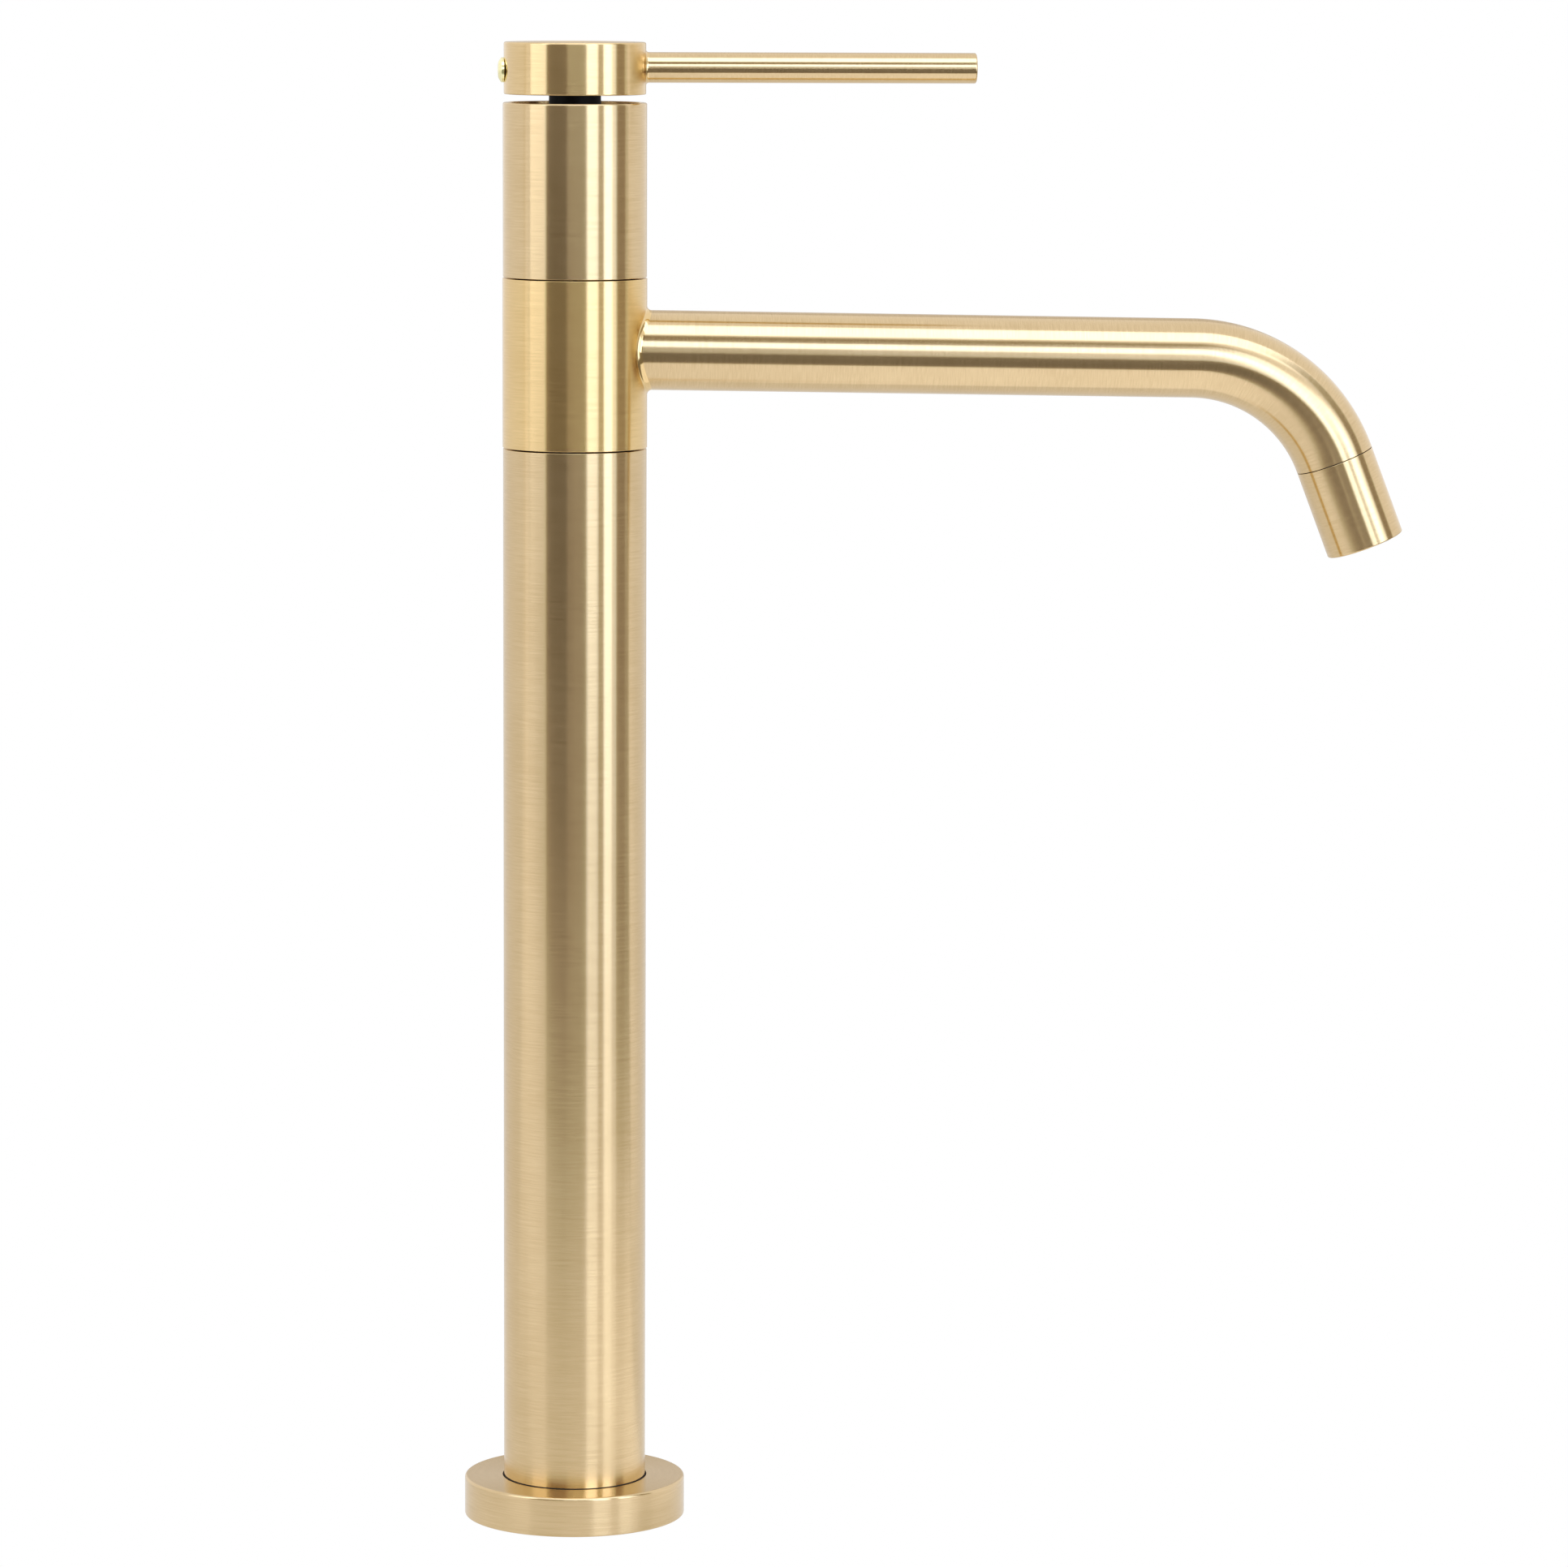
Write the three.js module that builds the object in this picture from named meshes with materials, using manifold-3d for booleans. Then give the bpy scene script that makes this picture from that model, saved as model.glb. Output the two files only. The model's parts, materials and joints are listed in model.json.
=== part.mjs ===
// Bathroom mixer faucet for a vessel basin: a slim round column on a low flange, a long swivelling
// tube spout with a down-turned outlet, and a lever cap on a 25 mm ceramic cartridge.
// Millimetres. The origin is on the column axis at deck level, +Z is up, spout and lever point along +X,
// so the user stands at +X: hot is on the user's left (-Y) and cold on the right (+Y).

import * as THREE from 'three';
import { mergeVertices } from 'three/addons/utils/BufferGeometryUtils.js';
import Module from 'manifold-3d';

const wasm = await Module();
wasm.setup();

// ---- driving dimensions ----

const gap = 0.3;
const outerFacets = 48;
const tubeFacets = 32;
const innerFacets = 24;
const smallFacets = 16;

const flangeRadius = 28;
const flangeHeight = 10;
const flangeRounding = 0.6;

const columnRadius = 18;
const columnBore = 15;
const columnFoot = 5;
const columnTop = 272.8;

const ringRadius = 18.1;
const ringBore = 12.8;
const ringChamber = 14.6;
const ringBottom = 273.15;
const ringTop = 315.5;

const spindleRadius = 12.3;
const spindleTop = 321;
const shoulderTop = 271.25;

const bodyBottom = 315.8;
const bodyTop = 359.2;
const bodyChamfer = 0.5;
const recessRadius = 16.6;
const recessFloor = 351.5;
const cartridgeWell = 12.9;

const capRadius = 17.75;
const capBottom = 361.2;
const capTop = 374.2;
const capSkirtBore = 16.4;
const capCeiling = 364.8;
const capBoss = 9.5;

const pivotHeight = 346.2;
const ballHeight = 333.6;
const ballRadius = 2;

const leverRadius = 3.8;
const leverHeight = 367.9;
const leverEnd = 100.6;
const leverSeat = 18.3;

const plugRadius = 3.1;
const plugHeight = 367.2;
const neckRadius = 6.5;

const spoutRadius = 10;
const spoutWall = 1.1;
const spoutRise = 297.75;
const spoutSlope = THREE.MathUtils.degToRad(0.9);
const spoutCorner = 183.1;
const bendRadius = 40;
const outletTilt = THREE.MathUtils.degToRad(20.9);
const sleeveLength = 23.1;

const pipeRadius = 4;
const pipeBore = 3;
const pipeX = -3;
const pipeY = 7.2;

const inletX = -4.2;
const inletY = 4.5;
const inletBore = 2.2;
const mixedX = 5.2;
const mixedBore = 2.6;

// ---- solids ----

function toSolid(geometry) {
  const bare = geometry.clone();
  bare.deleteAttribute('normal');
  bare.deleteAttribute('uv');
  const merged = mergeVertices(bare, 1e-4);
  const source = merged.index.array;
  const triangles = [];
  for (let i = 0; i < source.length; i += 3) {
    const a = source[i];
    const b = source[i + 1];
    const c = source[i + 2];
    if (a !== b && b !== c && c !== a) triangles.push(a, b, c);
  }
  const solid = manifoldOf(merged, triangles);
  if (solid.volume() > 0) return solid;
  return manifoldOf(merged, triangles.reverse());
}

function manifoldOf(merged, triangles) {
  return new wasm.Manifold(new wasm.Mesh({
    numProp: 3,
    vertProperties: new Float32Array(merged.attributes.position.array),
    triVerts: new Uint32Array(triangles),
  }));
}

function lathe(profile, facets) {
  const points = profile.map(([radius, height]) => new THREE.Vector2(radius, height));
  points.push(points[0].clone());
  const geometry = new THREE.LatheGeometry(points, facets);
  geometry.rotateX(Math.PI / 2);
  return geometry;
}

function turned(profile, facets = innerFacets) {
  return toSolid(lathe(profile, facets));
}

function rod(radius, bottom, top, facets = innerFacets) {
  return turned([[0, bottom], [radius, bottom], [radius, top], [0, top]], facets);
}

function ring(bore, radius, bottom, top, facets = innerFacets) {
  return turned([[bore, bottom], [radius, bottom], [radius, top], [bore, top]], facets);
}

function rodAlongX(radius, from, to, height, facets = smallFacets) {
  return rod(radius, from, to, facets).rotate([0, 90, 0]).translate([0, 0, height]);
}

function turnedAlongX(profile, height, facets = smallFacets) {
  return turned(profile, facets).rotate([0, 90, 0]).translate([0, 0, height]);
}

function rodAlongY(radius, halfLength, height) {
  return rod(radius, -halfLength, halfLength, smallFacets).rotate([90, 0, 0]).translate([0, 0, height]);
}

function block(sizeX, sizeY, bottom, top) {
  const geometry = new THREE.BoxGeometry(sizeX, sizeY, top - bottom);
  geometry.translate(0, 0, (top + bottom) / 2);
  return toSolid(geometry);
}

function torus(radius, section, height, facets = innerFacets) {
  const geometry = new THREE.TorusGeometry(radius, section, 8, facets);
  geometry.translate(0, 0, height);
  return toSolid(geometry);
}

// ---- foot and column ----

function baseFlange() {
  const bore = columnRadius + gap;
  return turned([
    [bore, 0],
    [20.6, 0], [20.6, 2.2], [25.2, 2.2], [25.2, 0],
    [flangeRadius, 0],
    [flangeRadius, flangeHeight - flangeRounding],
    [flangeRadius - flangeRounding, flangeHeight],
    [bore, flangeHeight],
  ], outerFacets);
}

function flangeGasket() {
  return ring(20.9, 24.9, 0, 1.9, outerFacets);
}

function mountingFoot() {
  let foot = turned([
    [0, 0], [columnRadius - 0.1, 0], [columnRadius - 0.1, columnFoot],
    [columnBore - gap, columnFoot], [columnBore - gap, 18], [0, 18],
  ]);
  for (const side of [-1, 1]) {
    foot = foot.subtract(rod(4.5, -1, 19, 20).translate([pipeX, side * pipeY, 0]));
  }
  const studSocket = rod(3.4, -1, 12, smallFacets).translate([8.6, 0, 0]);
  return foot.subtract(studSocket);
}

function lowerColumn() {
  return ring(columnBore, columnRadius, columnFoot + gap, columnTop, outerFacets);
}

function supplyPipe(side) {
  return ring(pipeBore, pipeRadius, 11, 265, smallFacets).translate([pipeX, side * pipeY, 0]);
}

// ---- valve body on which the spout turns ----

function sealGroove(height) {
  return ring(10.6, 14, height - 1.2, height + 1.2);
}

function valveBody() {
  let body = turned([
    [0, 257], [columnBore - gap, 257], [columnBore - gap, shoulderTop],
    [spindleRadius, shoulderTop], [spindleRadius, spindleTop], [0, spindleTop],
  ]);
  for (const side of [-1, 1]) {
    body = body.subtract(rod(pipeRadius + gap, 256, 265.6, smallFacets).translate([pipeX, side * pipeY, 0]));
    body = body.subtract(rod(inletBore, 264, 322, 12).translate([inletX, side * inletY, 0]));
  }
  body = body.subtract(rod(mixedBore, 291, 322, 12).translate([mixedX, 0, 0]));
  body = body.subtract(rodAlongX(3.4, mixedX, 14, spoutRise));
  body = body.subtract(sealGroove(279.5));
  return body.subtract(sealGroove(311));
}

function slideRing(bottom) {
  return ring(spindleRadius + gap, columnBore - 0.4, bottom, bottom + 1.3);
}

function spindleSeal(height) {
  return torus(11.7, 0.8, height);
}

// ---- spout ----

const spoutAim = new THREE.Vector3(Math.cos(spoutSlope), 0, -Math.sin(spoutSlope));
const outletAim = new THREE.Vector3(Math.sin(outletTilt), 0, -Math.cos(outletTilt));
const bendAngle = Math.PI / 2 - outletTilt - spoutSlope;
const bendTangent = bendRadius * Math.tan(bendAngle / 2);
const spoutOrigin = new THREE.Vector3(0, 0, spoutRise);
const corner = spoutOrigin.clone().addScaledVector(spoutAim, spoutCorner / spoutAim.x);
const bendStart = corner.clone().addScaledVector(spoutAim, -bendTangent);
const bendEnd = corner.clone().addScaledVector(outletAim, bendTangent);

// The centreline: one straight step from the column, then equal steps round the bend.
class SpoutLine extends THREE.Curve {
  constructor(start, steps) {
    super();
    this.start = start;
    this.straightShare = 1 / steps;
  }

  getPoint(t) {
    if (t <= this.straightShare) return this.start.clone().lerp(bendStart, t / this.straightShare);
    const turn = bendAngle * (t - this.straightShare) / (1 - this.straightShare);
    const along = bendRadius * Math.sin(turn);
    const down = bendRadius * (1 - Math.cos(turn));
    const under = new THREE.Vector3(-spoutAim.z, 0, spoutAim.x).negate();
    return bendStart.clone().addScaledVector(spoutAim, along).addScaledVector(under, down);
  }

  getUtoTmapping(u) {
    return u;
  }
}

function circle(radius, facets) {
  const points = [];
  for (let i = 0; i < facets; i += 1) {
    const angle = 2 * Math.PI * i / facets;
    points.push(new THREE.Vector2(radius * Math.cos(angle), radius * Math.sin(angle)));
  }
  return points;
}

function bentTube(start, steps, facets) {
  const wall = new THREE.Shape(circle(spoutRadius, facets));
  wall.holes.push(new THREE.Path(circle(spoutRadius - spoutWall, facets)));
  const extrudePath = new SpoutLine(start, steps);
  return toSolid(new THREE.ExtrudeGeometry(wall, { steps, extrudePath, bevelEnabled: false }));
}

function alongSpout(solid) {
  return solid.rotate([0, 90 + THREE.MathUtils.radToDeg(spoutSlope), 0]).translate([0, 0, spoutRise]);
}

function atOutlet(solid) {
  return solid.rotate([0, 180 - THREE.MathUtils.radToDeg(outletTilt), 0]).translate(bendEnd.toArray());
}

function spoutRing() {
  const barrel = turned([
    [ringBore, ringBottom], [ringRadius, ringBottom], [ringRadius, ringTop], [ringBore, ringTop],
    [ringBore, 308], [ringChamber, 308], [ringChamber, 284], [ringBore, 284],
  ], outerFacets);
  const bead = alongSpout(rod(spoutRadius + 1, 10, 30, tubeFacets)).intersect(rod(ringRadius + 0.8, 280, 312, outerFacets));
  const hollow = rod(ringRadius - 1, 280, 312, outerFacets);
  const socket = alongSpout(rod(spoutRadius + gap, 2, 30, tubeFacets));
  return barrel.add(bead.subtract(hollow)).subtract(socket);
}

function spoutTube() {
  const start = spoutOrigin.clone().addScaledVector(spoutAim, 6);
  const tube = bentTube(start, 9, tubeFacets);
  const spigotProfile = [[7.2, -3], [9.4, -3], [9.4, -0.2], [8.5, -0.2], [8.5, 6], [7.2, 6]];
  const spigot = atOutlet(turned(spigotProfile, tubeFacets));
  const inside = rod(ringChamber + gap, 280, 316, outerFacets);
  return tube.add(spigot).subtract(inside);
}

function outletSleeve() {
  return atOutlet(turned([
    [8.8, gap], [spoutRadius, gap], [spoutRadius, sleeveLength - 0.4],
    [spoutRadius - 0.4, sleeveLength], [8.8, sleeveLength],
  ], tubeFacets));
}

function aeratorGasket() {
  return atOutlet(ring(6.6, 8.5, 6.3, 8.3));
}

function aeratorBody() {
  return atOutlet(turned([
    [7.3, 8.6], [8.5, 8.6], [8.5, 22.3], [6.6, 22.3], [6.6, 21.6], [7.3, 21.6],
  ], tubeFacets));
}

function aeratorScreen() {
  let screen = rod(7, 19.9, 21.3);
  const jet = rod(0.8, 19, 22, 8);
  for (const [count, radius] of [[1, 0], [6, 2.5], [12, 5]]) {
    for (let i = 0; i < count; i += 1) {
      const angle = 2 * Math.PI * i / count;
      screen = screen.subtract(jet.translate([radius * Math.cos(angle), radius * Math.sin(angle), 0]));
    }
  }
  return atOutlet(screen);
}

// ---- upper body and cartridge ----

function upperBody() {
  return turned([
    [columnBore, bodyBottom], [columnRadius, bodyBottom],
    [columnRadius, bodyTop - bodyChamfer], [columnRadius - bodyChamfer, bodyTop], [recessRadius, bodyTop],
    [recessRadius, recessFloor], [columnBore, recessFloor], [columnBore, 343.6],
    [cartridgeWell, 343.6], [cartridgeWell, 320.8], [spindleRadius + gap, 320.8],
    [spindleRadius + gap, 317.4], [columnBore, 317.4],
  ], outerFacets);
}

function portHoles(solid, bottom, top) {
  const inlet = rod(inletBore, bottom, top, 12);
  const mixed = rod(mixedBore, bottom, top, 12);
  return solid
    .subtract(inlet.translate([inletX, inletY, 0]))
    .subtract(inlet.translate([inletX, -inletY, 0]))
    .subtract(mixed.translate([mixedX, 0, 0]));
}

function cartridgeBase() {
  let base = rod(10.9, 321.6, 324.6);
  for (const [x, y, bore] of [[inletX, inletY, 3.8], [inletX, -inletY, 3.8], [mixedX, 0, 4.1]]) {
    base = base.subtract(rod(bore, 321, 323.1, smallFacets).translate([x, y, 0]));
  }
  return portHoles(base, 322, 325);
}

function portSeal(x, y, bore) {
  return ring(bore, bore + 1.2, 321.3, 322.8, smallFacets).translate([x, y, 0]);
}

function cartridgeHousing() {
  return turned([
    [11.2, 321.6], [12.5, 321.6], [12.5, 343.4], [10.1, 343.4], [10.1, 337.1], [11.2, 337.1],
  ]);
}

function fixedDisc() {
  return portHoles(rod(10.8, 324.9, 327.4), 324, 328);
}

function movingDisc() {
  const pocket = block(11, 8.4, 327, 328.9);
  return rod(8, 327.7, 330.2).subtract(pocket).translate([-2.3, 0, 0]);
}

function discCarrier() {
  const carrier = rod(8, 330.5, 334.6).translate([-2.3, 0, 0]);
  return carrier.subtract(rod(ballRadius + 0.6, 331.2, 335, smallFacets));
}

function cartridgeTurret() {
  const turret = turned([
    [0, 334.9], [10.9, 334.9], [10.9, 336.8], [9.7, 336.8], [9.7, 349.2], [0, 349.2],
  ]);
  const slot = block(15, 7.4, 334, 350);
  return turret.subtract(slot).subtract(rodAlongY(1.7, 12, pivotHeight));
}

function pivotPin() {
  return rodAlongY(1.4, 9.3, pivotHeight);
}

function cartridgeStem() {
  const ball = new THREE.SphereGeometry(ballRadius, 16, 8);
  ball.rotateX(Math.PI / 2);
  ball.translate(0, 0, ballHeight);
  const hub = rodAlongY(3.4, 3.4, pivotHeight);
  const stem = toSolid(ball)
    .add(rod(1.6, ballHeight, pivotHeight, smallFacets))
    .add(hub)
    .add(block(6.8, 6.8, pivotHeight, 371.1));
  return stem.subtract(rodAlongY(1.7, 5, pivotHeight));
}

function retainingNut() {
  const flange = rod(columnBore - gap, 343.9, 347);
  const hexagon = rod(13.6, 346, 351, 6);
  return flange.add(hexagon).subtract(rod(10.3, 343, 352));
}

// ---- handle ----

function stemBush() {
  return rod(neckRadius, 353, 361.9).subtract(block(7.4, 7.4, 352, 363));
}

function handleCap() {
  const shell = turned([
    [0, 362.2], [capBoss, 362.2], [capBoss, capCeiling], [capSkirtBore, capCeiling],
    [capSkirtBore, capBottom], [capRadius - 0.3, capBottom], [capRadius, capBottom + 0.3],
    [capRadius, capTop - 0.5], [capRadius - 0.5, capTop], [0, capTop],
  ], outerFacets);
  const seat = rodAlongX(leverRadius + 0.4, 12, leverSeat, leverHeight, 24);
  return shell
    .add(seat)
    .subtract(block(7.4, 7.4, 362, 371.5))
    .subtract(rodAlongX(2.8, 2, 20, leverHeight))
    .subtract(rodAlongX(1.8, -20, -2, plugHeight));
}

function leverRod() {
  const start = leverSeat + gap;
  return turnedAlongX([
    [0, 9], [2.5, 9], [2.5, start], [leverRadius, start],
    [leverRadius, leverEnd - 0.5], [leverRadius - 0.5, leverEnd], [0, leverEnd],
  ], leverHeight, tubeFacets);
}

function grubScrew() {
  const screw = rodAlongX(1.5, -11, -4, plugHeight, 12);
  return screw.subtract(rodAlongX(0.85, -12, -9, plugHeight, 6));
}

function capPlug() {
  const face = -capRadius - gap;
  return turnedAlongX([
    [0, -13], [1.5, -13], [1.5, face], [plugRadius, face], [plugRadius, face - 0.3],
    [plugRadius - 0.5, face - 0.8], [plugRadius - 1.5, face - 1.1], [0, face - 1.25],
  ].reverse(), plugHeight, 24);
}

// ---- materials ----

const finishes = {
  brushedGold: { color: 0xc9ab7c, roughness: 0.32, metalness: 1 },
  polishedGold: { color: 0xe2b23c, roughness: 0.12, metalness: 1 },
  rawBrass: { color: 0xb5924c, roughness: 0.45, metalness: 1 },
  copper: { color: 0xb87348, roughness: 0.4, metalness: 1 },
  steel: { color: 0xb9bcc0, roughness: 0.3, metalness: 1 },
  rubber: { color: 0x1b1b1c, roughness: 0.85, metalness: 0 },
  darkPlastic: { color: 0x2a2320, roughness: 0.5, metalness: 0 },
  whitePlastic: { color: 0xe8e6e0, roughness: 0.5, metalness: 0 },
  greyPlastic: { color: 0x8d9196, roughness: 0.5, metalness: 0 },
  ceramic: { color: 0xf2efe8, roughness: 0.2, metalness: 0 },
};

// ---- assembly ----

function toMesh(name, solid, finish) {
  const { vertProperties, triVerts } = solid.getMesh();
  const geometry = new THREE.BufferGeometry();
  geometry.setAttribute('position', new THREE.Float32BufferAttribute(vertProperties, 3));
  geometry.setIndex(Array.from(triVerts));
  const mesh = new THREE.Mesh(geometry.toNonIndexed(), new THREE.MeshStandardMaterial(finishes[finish]));
  mesh.geometry.computeVertexNormals();
  mesh.name = name;
  return mesh;
}

const pieces = [
  ['base_flange', baseFlange(), 'brushedGold'],
  ['flange_gasket', flangeGasket(), 'rubber'],
  ['mounting_foot', mountingFoot(), 'rawBrass'],
  ['lower_column', lowerColumn(), 'brushedGold'],
  ['hot_supply_pipe', supplyPipe(-1), 'copper'],
  ['cold_supply_pipe', supplyPipe(1), 'copper'],
  ['valve_body', valveBody(), 'rawBrass'],
  ['lower_slide_ring', slideRing(shoulderTop + gap), 'whitePlastic'],
  ['upper_slide_ring', slideRing(ringTop + gap), 'whitePlastic'],
  ['lower_spindle_seal', spindleSeal(279.5), 'rubber'],
  ['upper_spindle_seal', spindleSeal(311), 'rubber'],
  ['spout_ring', spoutRing(), 'brushedGold'],
  ['spout_tube', spoutTube(), 'brushedGold'],
  ['outlet_sleeve', outletSleeve(), 'brushedGold'],
  ['aerator_gasket', aeratorGasket(), 'rubber'],
  ['aerator_body', aeratorBody(), 'greyPlastic'],
  ['aerator_screen', aeratorScreen(), 'steel'],
  ['upper_body', upperBody(), 'brushedGold'],
  ['cartridge_housing', cartridgeHousing(), 'whitePlastic'],
  ['cartridge_base', cartridgeBase(), 'whitePlastic'],
  ['hot_inlet_seal', portSeal(inletX, -inletY, inletBore), 'rubber'],
  ['cold_inlet_seal', portSeal(inletX, inletY, inletBore), 'rubber'],
  ['mixed_outlet_seal', portSeal(mixedX, 0, mixedBore), 'rubber'],
  ['fixed_disc', fixedDisc(), 'ceramic'],
  ['moving_disc', movingDisc(), 'ceramic'],
  ['disc_carrier', discCarrier(), 'greyPlastic'],
  ['cartridge_turret', cartridgeTurret(), 'whitePlastic'],
  ['pivot_pin', pivotPin(), 'steel'],
  ['cartridge_stem', cartridgeStem(), 'rawBrass'],
  ['retaining_nut', retainingNut(), 'rawBrass'],
  ['stem_bush', stemBush(), 'darkPlastic'],
  ['handle_cap', handleCap(), 'brushedGold'],
  ['lever_rod', leverRod(), 'brushedGold'],
  ['grub_screw', grubScrew(), 'steel'],
  ['cap_plug', capPlug(), 'polishedGold'],
];

const faucet = new THREE.Group();
faucet.name = 'bathroom_mixer_faucet';
for (const [name, solid, finish] of pieces) faucet.add(toMesh(name, solid, finish));

export default faucet;
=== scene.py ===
"""Studio picture of the bathroom mixer faucet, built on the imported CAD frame."""

import json
import math

import bpy
from mathutils import Matrix, Vector

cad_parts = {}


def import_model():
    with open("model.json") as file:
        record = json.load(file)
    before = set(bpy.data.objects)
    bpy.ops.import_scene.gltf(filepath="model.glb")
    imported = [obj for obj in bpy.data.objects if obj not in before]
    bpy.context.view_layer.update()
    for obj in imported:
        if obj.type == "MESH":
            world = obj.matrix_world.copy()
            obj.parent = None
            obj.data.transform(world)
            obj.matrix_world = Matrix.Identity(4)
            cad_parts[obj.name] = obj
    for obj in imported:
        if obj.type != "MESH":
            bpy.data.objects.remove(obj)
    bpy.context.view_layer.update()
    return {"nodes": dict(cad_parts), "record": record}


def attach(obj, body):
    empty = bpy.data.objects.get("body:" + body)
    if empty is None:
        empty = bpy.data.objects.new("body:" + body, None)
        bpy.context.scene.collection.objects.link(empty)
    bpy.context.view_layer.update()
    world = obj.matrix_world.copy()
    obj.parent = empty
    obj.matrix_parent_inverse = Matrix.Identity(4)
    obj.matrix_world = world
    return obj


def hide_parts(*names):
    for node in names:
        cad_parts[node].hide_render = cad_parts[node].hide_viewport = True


# Lengths are in millimetres here and turned into metres where meshes are made.
MM = 0.001

FLANGE_RADIUS = 28.0
FLANGE_HEIGHT = 10.0
COLUMN_RADIUS = 18.0
COLUMN_BORE = 15.0
COLUMN_TOP = 272.8
RING_RADIUS = 18.1
RING_BORE = 12.8
RING_BOTTOM = 273.15
RING_TOP = 315.5
BODY_BOTTOM = 315.8
BODY_TOP = 359.2
CAP_RADIUS = 17.75
CAP_BOTTOM = 361.2
CAP_TOP = 374.2

LEVER_RADIUS = 3.8
LEVER_HEIGHT = 367.9
LEVER_END = 100.6
PLUG_HEIGHT = 367.2

SPOUT_RADIUS = 10.0
SPOUT_WALL = 1.1
SPOUT_RISE = 297.75
SPOUT_SLOPE = math.radians(0.9)
SPOUT_CORNER = 183.1
BEND_RADIUS = 40.0
OUTLET_TILT = math.radians(20.9)
SLEEVE_LENGTH = 23.1
AERATOR_RADIUS = 8.5
AERATOR_BORE = 6.6

# Facets once round a turned piece, once round the tube, along the bend and along a quarter turn of a fillet.
ROUND_STEPS = 160
TUBE_STEPS = 96
BEND_STEPS = 44
FILLET_STEPS = 5

SIDEWAYS = Vector((0, 1, 0))
UPWARD = Vector((0, 0, 1))


# ---- outlines and meshes ----


def round_angles(steps):
    """The (share, angle) pairs once round, from half a turn, where the UV map's seam lies."""
    return [(i / steps, 2 * math.pi * i / steps + math.pi) for i in range(steps + 1)]


class Outline:
    """A chain of straight and rounded stretches in the (radius, height) plane, with exact normals."""

    def __init__(self, corners, closed=True):
        """corners holds (radius, height) or (radius, height, fillet); solid lies on the left."""
        self.stretches = []
        count = len(corners)
        points = [Vector(c[:2]) for c in corners]
        fillets = [c[2] if len(c) > 2 else 0.0 for c in corners]
        starts, ends = [None] * count, [None] * count
        arcs = [None] * count
        for i in range(count):
            if fillets[i] == 0.0 or (not closed and i in (0, count - 1)):
                starts[i] = ends[i] = points[i]
                continue
            arcs[i] = self.fillet(points[i - 1], points[i], points[(i + 1) % count], fillets[i])
            starts[i], ends[i] = arcs[i][0][0], arcs[i][-1][0]
        last = count if closed else count - 1
        for i in range(count):
            if arcs[i]:
                for a, b in zip(arcs[i], arcs[i][1:]):
                    self.stretches.append((a[0], a[1], b[0], b[1]))
            if i < last:
                self.line(ends[i], starts[(i + 1) % count])

    def line(self, a, b):
        run = b - a
        if run.length < 1e-7:
            return
        normal = Vector((run.y, -run.x)).normalized()
        self.stretches.append((a, normal, b, normal))

    @staticmethod
    def fillet(before, corner, after, radius):
        """The points and outward normals of the arc that rounds this corner."""
        into = (corner - before).normalized()
        out = (after - corner).normalized()
        turn = math.atan2(into.x * out.y - into.y * out.x, into.dot(out))
        reach = radius * math.tan(abs(turn) / 2)
        start = corner - into * reach
        side = 1.0 if turn > 0 else -1.0
        centre = start + Vector((-into.y, into.x)) * side * radius
        steps = max(2, round(FILLET_STEPS * abs(turn) / (math.pi / 2)))
        arc = []
        for k in range(steps + 1):
            angle = turn * k / steps
            spoke = start - centre
            turned = Vector((
                spoke.x * math.cos(angle) - spoke.y * math.sin(angle),
                spoke.x * math.sin(angle) + spoke.y * math.cos(angle),
            ))
            arc.append((centre + turned, turned.normalized() * side))
        return arc


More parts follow.
